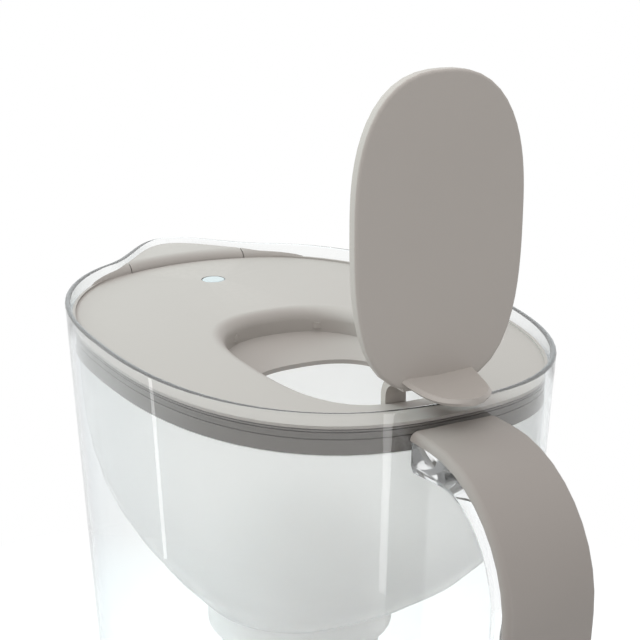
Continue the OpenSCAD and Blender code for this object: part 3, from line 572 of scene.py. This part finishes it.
def filter_grains(name, dark, pale):
    """Packed grains: dark granules with scattered pale beads between them."""
    material, tree, shader, place = new_material(name)
    cells = add_node(
        tree, "ShaderNodeTexVoronoi", {"Vector": place, "Scale": 1300.0}, feature="F1"
    )
    pick = add_node(tree, "ShaderNodeSeparateColor", {0: cells.outputs["Color"]}).outputs["Red"]
    bead = map_range(tree, pick, 0.62, 0.64, 0.0, 1.0)
    shade = map_range(tree, noise(tree, place, 700.0, 3.0), 0.3, 0.7, 0.6, 1.4)
    varied = add_node(
        tree, "ShaderNodeVectorMath", {0: dark, "Scale": shade}, operation="SCALE"
    ).outputs["Vector"]
    tree.links.new(mix_colour(tree, bead, varied, (*pale, 1.0)), shader.inputs["Base Color"])
    tree.links.new(map_range(tree, bead, 0.0, 1.0, 0.8, 0.45), shader.inputs["Roughness"])
    rise = math_node(tree, "SUBTRACT", 1.0, cells.outputs["Distance"])
    bump(tree, shader, rise, 0.9, 0.5 * MM)
    return material


def printed_board(name, colour, copper):
    """Solder mask over copper tracks, with tinned pads."""
    material, tree, shader, place = new_material(name)
    pitch = (0.9 * MM, 0.9 * MM, 1.0)
    steps = add_node(
        tree, "ShaderNodeVectorMath", {0: place, 1: pitch}, operation="SNAP"
    ).outputs["Vector"]
    cell = add_node(
        tree, "ShaderNodeTexWhiteNoise", {"Vector": steps}, noise_dimensions="3D"
    ).outputs["Value"]
    track = map_range(tree, cell, 0.52, 0.54, 0.0, 1.0)
    pad = map_range(tree, cell, 0.95, 0.96, 0.0, 1.0)
    raised = math_node(tree, "MULTIPLY", track, 0.35)
    mask = mix_colour(tree, raised, (*colour, 1.0), scaled(colour, 1.9))
    tree.links.new(mix_colour(tree, pad, mask, (*copper, 1.0)), shader.inputs["Base Color"])
    tree.links.new(map_range(tree, pad, 0.0, 1.0, 0.35, 0.25), shader.inputs["Roughness"])
    tree.links.new(pad, shader.inputs["Metallic"])
    bump(tree, shader, math_node(tree, "MAXIMUM", track, pad), 0.3, 0.04 * MM)
    return material


def status_lens(name, colour):
    """Pale glossy lens of the indicator and its lamp, under a clear coat."""
    material, tree, shader, place = new_material(name)
    surface = group_node(
        tree,
        moulded_surface_group,
        {
            "Vector": place,
            "Colour": (*colour, 1.0),
            "Mottling": 0.02,
            "Roughness": 0.2,
            "Roughness Spread": 0.05,
        },
    )
    tree.links.new(surface["Colour"], shader.inputs["Base Color"])
    tree.links.new(surface["Roughness"], shader.inputs["Roughness"])
    bump(tree, shader, surface["Height"], 0.04, 0.05 * MM)
    shader.inputs["Coat Weight"].default_value = 0.6
    shader.inputs["Coat Roughness"].default_value = 0.05
    return material


# ---- Settings that a user would change ----


class PitcherFinish(bpy.types.PropertyGroup):
    """Colours of the pitcher's visible plastics."""

    lid_colour: bpy.props.FloatVectorProperty(
        name="Lid",
        description="Colour of the lid and the pouring flap",
        subtype="COLOR",
        size=3, min=0.0, max=1.0, default=(0.36, 0.332, 0.308),
    )
    # Painted light: the fill flap gets a lighter colour than the lid's plastic, which it shares, to
    # make up for the light that its upright face misses
    flap_painted_light_colour: bpy.props.FloatVectorProperty(
        name="Fill flap", description="Colour of the fill flap", subtype="COLOR",
        size=3, min=0.0, max=1.0, default=(0.415, 0.38, 0.35),
    )
    # Painted shade: the handle's cover gets a darker colour than the flap's taupe plastic, which it
    # shares, standing in for the shade low down on the handle
    cover_painted_shade_colour: bpy.props.FloatVectorProperty(
        name="Handle cover",
        description="Colour of the handle's cover",
        subtype="COLOR",
        size=3, min=0.0, max=1.0, default=(0.302, 0.273, 0.251),
    )
    # Painted shade on the lid's skirt, as a share of the lid's colour
    painted_skirt_shade: bpy.props.FloatProperty(
        name="Skirt shade",
        description="Darkness of the lid's skirt, as a share of the lid's colour",
        min=0.2, max=1.0, default=0.44,
    )
    jug_tint: bpy.props.FloatVectorProperty(
        name="Jug tint",
        description="Tint that light takes on in the clear jug",
        subtype="COLOR",
        size=3, min=0.0, max=1.0, default=(0.97, 0.977, 0.973),
    )
    jug_edge_tint: bpy.props.FloatVectorProperty(
        name="Jug edge tint",
        description="Tint of the jug's wall where it is seen edge on",
        subtype="COLOR",
        size=3, min=0.0, max=1.0, default=(0.54, 0.63, 0.68),
    )
    funnel_colour: bpy.props.FloatVectorProperty(
        name="Funnel", description="Colour of the frosted funnel", subtype="COLOR",
        size=3, min=0.0, max=1.0, default=(0.975, 0.977, 0.97),
    )
    jug_roughness: bpy.props.FloatProperty(
        name="Jug roughness",
        description="Roughness of the clear jug",
        min=0.0, max=0.3, default=0.015,
    )
    plastic_roughness: bpy.props.FloatProperty(
        name="Plastic roughness",
        description="Roughness of the satin plastics",
        min=0.2, max=0.8, default=0.46,
    )


class PitcherStage(bpy.types.PropertyGroup):
    """Floor, light and camera."""

    floor_size: bpy.props.FloatProperty(
        name="Floor size",
        description="Side of the pale floor",
        unit="LENGTH", min=2.0, default=14.0,
    )
    sky_light: bpy.props.FloatProperty(
        name="Sky light",
        description="Strength of the even light from all round",
        min=0.0, default=0.75,
    )
    sky_tilt: bpy.props.FloatVectorProperty(
        name="Sky tilt",
        description="How much more light comes from this direction",
        size=3,
        default=(-0.15, -0.3, 0.72),
    )
    key_power: bpy.props.FloatProperty(
        name="Overhead power",
        description="Power of the soft box overhead",
        unit="POWER", min=0.0, default=1.0,
    )
    window_power: bpy.props.FloatProperty(
        name="Window power",
        description="Power of the cool low light from the left",
        unit="POWER", min=0.0, default=6.5,
    )
    strip_power: bpy.props.FloatProperty(
        name="Strip power",
        description="Power of the broader upright strip light",
        unit="POWER", min=0.0, default=0.16,
    )
    camera_place: bpy.props.FloatVectorProperty(
        name="Camera place",
        description="Where the camera stands",
        subtype="TRANSLATION", unit="LENGTH",
        default=(0.43978, -0.23072, 0.42448),
    )
    camera_aim: bpy.props.FloatVectorProperty(
        name="Camera aim",
        description="The point that the camera looks at",
        subtype="TRANSLATION", unit="LENGTH",
        default=(0.01768, 0.0, 0.27397),
    )
    focal_length: bpy.props.FloatProperty(
        name="Focal length",
        description="Focal length on a 36 mm sensor, in millimetres",
        min=20.0, default=82.36,
    )


# ---- Pieces ----


class PITCHER_OT_jug(bpy.types.Operator):
    """Clear jug with its spout and the spine of its handle"""

    bl_idname = "pitcher.jug"
    bl_label = "Jug"

    def execute(self, context):
        finish = context.scene.pitcher_finish
        jug = merged_copy("jug_body", "clear_jug")
        smooth_by_angle(jug, 50)
        clear = clear_plastic(
            "jug clear plastic", finish.jug_tint, finish.jug_edge_tint, finish.jug_roughness, 0.12
        )
        finish_piece(jug, clear, "jug", "jug_clear", "jug_body")
        return {"FINISHED"}


class PITCHER_OT_handle_cover(bpy.types.Operator):
    """Satin cover along the outside of the handle"""

    bl_idname = "pitcher.handle_cover"
    bl_label = "Handle cover"

    def execute(self, context):
        finish = context.scene.pitcher_finish
        cover = merged_copy("handle_cover", "handle_grip_cover")
        smooth_by_angle(cover, 40)
        # The cover's colour carries painted shade: it is darker than the flap's taupe
        satin = moulded_plastic(
            "handle satin plastic", finish.cover_painted_shade_colour, finish.plastic_roughness
        )
        finish_piece(cover, satin, "jug", "cover_taupe", "handle_cover")
        return {"FINISHED"}


class PITCHER_OT_foot_pad(bpy.types.Operator):
    """Soft foot under the jug"""

    bl_idname = "pitcher.foot_pad"
    bl_label = "Foot pad"

    def execute(self, context):
        finish_node("foot_pad", soft_rubber("foot soft rubber", (0.30, 0.27, 0.245)))
        return {"FINISHED"}


class PITCHER_OT_lid(bpy.types.Operator):
    """Lid with its fill opening, and the pouring flap with its pin"""

    bl_idname = "pitcher.lid"
    bl_label = "Lid and pouring flap"

    def execute(self, context):
        finish = context.scene.pitcher_finish
        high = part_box("lid_shell")[1]
        flat_top = high.z - CREST_TO_LID
        satin = moulded_plastic(
            "lid satin plastic",
            finish.lid_colour,
            finish.plastic_roughness,
            shaded_below=(flat_top - SKIRT_DROP, high.x, high.y, finish.painted_skirt_shade),
        )
        lid = merged_copy("lid_shell", "lid_moulding")
        soften_edges(lid, 50, flat_top + ROUNDED_FROM, LIP_ROUND)
        smooth_by_angle(lid, 32)
        finish_piece(lid, satin, "lid", "lid_greige", "lid_shell")
        flap = merged_copy("pour_flap", "pouring_flap_moulding")
        smooth_by_angle(flap, 32)
        finish_piece(flap, satin, "pour_flap", "lid_greige", "pour_flap")
        finish_node("pour_flap_pin", turned_metal("pin steel", (0.62, 0.62, 0.6)))
        return {"FINISHED"}


class PITCHER_OT_fill_flap(bpy.types.Operator):
    """Fill flap with its thumb tab, arms and hinge pin"""

    bl_idname = "pitcher.fill_flap"
    bl_label = "Fill flap"

    def execute(self, context):
        finish = context.scene.pitcher_finish
        flap = merged_copy("fill_flap", "fill_flap_moulding")
        smooth_by_angle(flap, 32)
        # The flap's colour carries painted light: it is lighter than the lid's plastic
        satin = moulded_plastic("flap satin plastic", finish.flap_painted_light_colour, finish.plastic_roughness)
        finish_piece(flap, satin, "fill_flap", "flap_taupe", "fill_flap")
        finish_node("fill_flap_pin", turned_metal("hinge pin steel", (0.6, 0.6, 0.59)))
        return {"FINISHED"}


class PITCHER_OT_indicator(bpy.types.Operator):
    """Filter-change indicator: lens button, sealed housing, board, cell and electrodes"""

    bl_idname = "pitcher.indicator"
    bl_label = "Indicator"

    def execute(self, context):
        finish_node("indicator_button", status_lens("indicator lens", (0.41, 0.475, 0.49)))
        grey = moulded_plastic("housing grey plastic", (0.42, 0.42, 0.41), 0.5)
        finish_node("indicator_housing", grey)
        finish_node("indicator_cover", grey)
        finish_node("indicator_seal", soft_rubber("indicator seal rubber", (0.05, 0.05, 0.052)))
        board = printed_board("board solder mask", (0.015, 0.09, 0.04), (0.72, 0.7, 0.6))
        finish_node("circuit_board", board)
        finish_node("status_led", status_lens("led resin", (0.85, 0.86, 0.8)))
        finish_node("button_dome", turned_metal("dome spring steel", (0.66, 0.66, 0.64)))
        finish_node("coin_cell", turned_metal("cell nickel", (0.6, 0.59, 0.57)))
        finish_node("cell_contact", turned_metal("contact brass", (0.72, 0.5, 0.2)))
        plated = turned_metal("electrode plating", (0.7, 0.69, 0.66))
        finish_node("electrode_left", plated)
        finish_node("electrode_right", plated)
        return {"FINISHED"}


class PITCHER_OT_funnel(bpy.types.Operator):
    """Frosted funnel that hangs in the jug"""

    bl_idname = "pitcher.funnel"
    bl_label = "Funnel"

    def execute(self, context):
        finish = context.scene.pitcher_finish
        funnel = merged_copy("funnel", "frosted_funnel")
        smooth_by_angle(funnel, 34)
        frosted = frosted_plastic("funnel frosted plastic", finish.funnel_colour, 0.5, 0.85, 0.25)
        finish_piece(funnel, frosted, "funnel", "funnel_frost", "funnel")
        return {"FINISHED"}


class PITCHER_OT_cartridge(bpy.types.Operator):
    """Filter cartridge: housing, cap, seal, gauzes and grains"""

    bl_idname = "pitcher.cartridge"
    bl_label = "Cartridge"

    def execute(self, context):
        white = moulded_plastic(
            "cartridge white plastic", (0.80, 0.81, 0.80), 0.42, subsurface=0.2
        )
        finish_node("cartridge_housing", white)
        finish_node("cartridge_cap", white)
        finish_node("cartridge_seal", soft_rubber("cartridge seal rubber", (0.42, 0.43, 0.44)))
        gauze = woven_filter("gauze thread", (0.78, 0.79, 0.8))
        finish_node("inlet_mesh", gauze)
        finish_node("outlet_mesh", gauze)
        carbon, resin = (0.018, 0.017, 0.016), (0.6, 0.5, 0.32)
        finish_node("filter_media", filter_grains("carbon and resin grains", carbon, resin))
        return {"FINISHED"}


# ---- Stage ----


def seen_white(tree):
    """1 for rays from the camera, a mirror or clear plastic, which should meet white."""
    path = add_node(tree, "ShaderNodeLightPath").outputs
    seen = math_node(tree, "MAXIMUM", path["Is Camera Ray"], path["Is Glossy Ray"])
    return math_node(tree, "MAXIMUM", seen, path["Is Transmission Ray"])


def pale_floor(size):
    """White floor, lit as a matt surface round the pitcher so that it keeps the shadow."""
    material, tree, shader, place = new_material("floor white")
    shader.inputs["Roughness"].default_value = 0.9
    distance = add_node(
        tree, "ShaderNodeVectorMath", {0: place}, operation="LENGTH"
    ).outputs["Value"]
    grain = map_range(tree, noise(tree, place, 60.0, 4.0), 0.3, 0.7, 0.80, 0.83)
    lighting = add_node(tree, "ShaderNodeLightPath").outputs["Is Diffuse Ray"]
    given = map_range(tree, lighting, 0.0, 1.0, 1.0, FLOOR_LIGHT)
    tree.links.new(math_node(tree, "MULTIPLY", grain, given), shader.inputs["Base Color"])
    glow = add_node(tree, "ShaderNodeEmission", {"Color": (1.0, 1.0, 1.0, 1.0), "Strength": 1.0})
    far = map_range(tree, distance, 0.16, 0.42, 0.0, 1.0)
    factor = math_node(tree, "MULTIPLY", seen_white(tree), far)
    mix = add_node(
        tree, "ShaderNodeMixShader", {0: factor, 1: shader.outputs[0], 2: glow.outputs[0]}
    )
    tree.links.new(mix.outputs[0], tree.nodes["Material Output"].inputs["Surface"])
    bpy.ops.mesh.primitive_plane_add(size=size, location=(0.0, 0.0, 0.0))
    floor = bpy.context.object
    floor.name = "pale_floor"
    floor.data.materials.append(material)


def white_world(strength, tilt):
    """White where it is seen; its light on the pitcher is stronger from where "tilt" points."""
    world = bpy.data.worlds.new("studio")
    bpy.context.scene.world = world
    world.use_nodes = True
    tree = world.node_tree
    background = tree.nodes["Background"]
    background.inputs["Color"].default_value = (1.0, 1.0, 1.0, 1.0)
    way = add_node(tree, "ShaderNodeTexCoord").outputs["Generated"]
    lean = add_node(
        tree, "ShaderNodeVectorMath", {0: way, 1: tilt}, operation="DOT_PRODUCT"
    ).outputs["Value"]
    light = math_node(tree, "ADD", lean, strength)
    level = add_node(
        tree, "ShaderNodeMix", {0: seen_white(tree), 2: light, 3: 1.0}, data_type="FLOAT"
    )
    tree.links.new(level.outputs[0], background.inputs["Strength"])


def area_light(name, place, aim, size, power, colour=(1.0, 1.0, 1.0)):
    """A soft box that neither the camera nor a ray through clear plastic sees directly."""
    light = bpy.data.lights.new(name, "AREA")
    light.shape = "RECTANGLE"
    light.size, light.size_y = size
    light.energy = power
    light.color = colour
    lamp = bpy.data.objects.new(name, light)
    bpy.context.scene.collection.objects.link(lamp)
    lamp.location = place
    lamp.rotation_euler = (Vector(aim) - Vector(place)).to_track_quat("-Z", "Y").to_euler()
    lamp.visible_camera = False
    lamp.visible_transmission = False
    return lamp


class PITCHER_OT_stage(bpy.types.Operator):
    """Pale floor, white surroundings, soft lights and the camera"""

    bl_idname = "pitcher.stage"
    bl_label = "Stage"

    def execute(self, context):
        stage = context.scene.pitcher_stage
        bpy.ops.object.select_all(action="DESELECT")
        pale_floor(stage.floor_size)
        white_world(stage.sky_light, stage.sky_tilt)
        area_light(
            "overhead_box", (-0.5, -0.1, 1.5), (0.0, 0.0, 0.25), (1.0, 1.0), stage.key_power
        )
        window = area_light(
            "window_box",
            (-0.62, -0.42, 0.62),
            (0.0, 0.0, 0.26),
            (0.35, 0.35),
            stage.window_power,
            (0.74, 0.97, 1.0),
        )
        window.visible_glossy = False
        left_strip = area_light(
            "left_strip",
            (-0.233, -0.31, 0.13),
            (0.037, -0.07, 0.13),
            (0.012, 0.25),
            stage.strip_power * LEFT_STRIP_SHARE,
        )
        right_strip = area_light(
            "right_strip",
            (0.42, 0.02, 0.125),
            (0.1, -0.022, 0.125),
            (0.07, 0.25),
            stage.strip_power,
        )
        left_strip.visible_diffuse = False
        right_strip.visible_diffuse = False
        camera_data = bpy.data.cameras.new("main_camera")
        camera = bpy.data.objects.new("main_camera", camera_data)
        context.scene.collection.objects.link(camera)
        place, aim = Vector(stage.camera_place), Vector(stage.camera_aim)
        camera.location = place
        camera.rotation_euler = (aim - place).to_track_quat("-Z", "Y").to_euler()
        camera_data.lens = stage.focal_length
        camera_data.sensor_width = 36.0
        camera_data.clip_start = 0.01
        context.scene.camera = camera
        context.scene.view_settings.view_transform = "Standard"
        return {"FINISHED"}


class PITCHER_PT_panel(bpy.types.Panel):
    """Sidebar panel that lists the pieces and their settings"""

    bl_idname = "PITCHER_PT_panel"
    bl_label = "Water filter pitcher"
    bl_space_type = "VIEW_3D"
    bl_region_type = "UI"
    bl_category = "Pitcher"

    def draw(self, context):
        column = self.layout.column()
        for operator in OPERATORS:
            column.operator(operator.bl_idname)
        for settings in (context.scene.pitcher_finish, context.scene.pitcher_stage):
            box = self.layout.box()
            for name in type(settings).__annotations__:
                box.prop(settings, name)


OPERATORS = (
    PITCHER_OT_jug,
    PITCHER_OT_handle_cover,
    PITCHER_OT_foot_pad,
    PITCHER_OT_lid,
    PITCHER_OT_fill_flap,
    PITCHER_OT_indicator,
    PITCHER_OT_funnel,
    PITCHER_OT_cartridge,
    PITCHER_OT_stage,
)
CLASSES = (PitcherFinish, PitcherStage, *OPERATORS, PITCHER_PT_panel)


def register():
    for cls in CLASSES:
        bpy.utils.register_class(cls)
    bpy.types.Scene.pitcher_finish = bpy.props.PointerProperty(type=PitcherFinish)
    bpy.types.Scene.pitcher_stage = bpy.props.PointerProperty(type=PitcherStage)


def unregister():
    del bpy.types.Scene.pitcher_stage
    del bpy.types.Scene.pitcher_finish
    for cls in reversed(CLASSES):
        bpy.utils.unregister_class(cls)


def main():
    register()
    bpy.ops.pitcher.jug()
    bpy.ops.pitcher.handle_cover()
    bpy.ops.pitcher.foot_pad()
    bpy.ops.pitcher.lid()
    bpy.ops.pitcher.fill_flap()
    bpy.ops.pitcher.indicator()
    bpy.ops.pitcher.funnel()
    bpy.ops.pitcher.cartridge()
    bpy.ops.pitcher.stage()


if __name__ == "__main__":
    main()
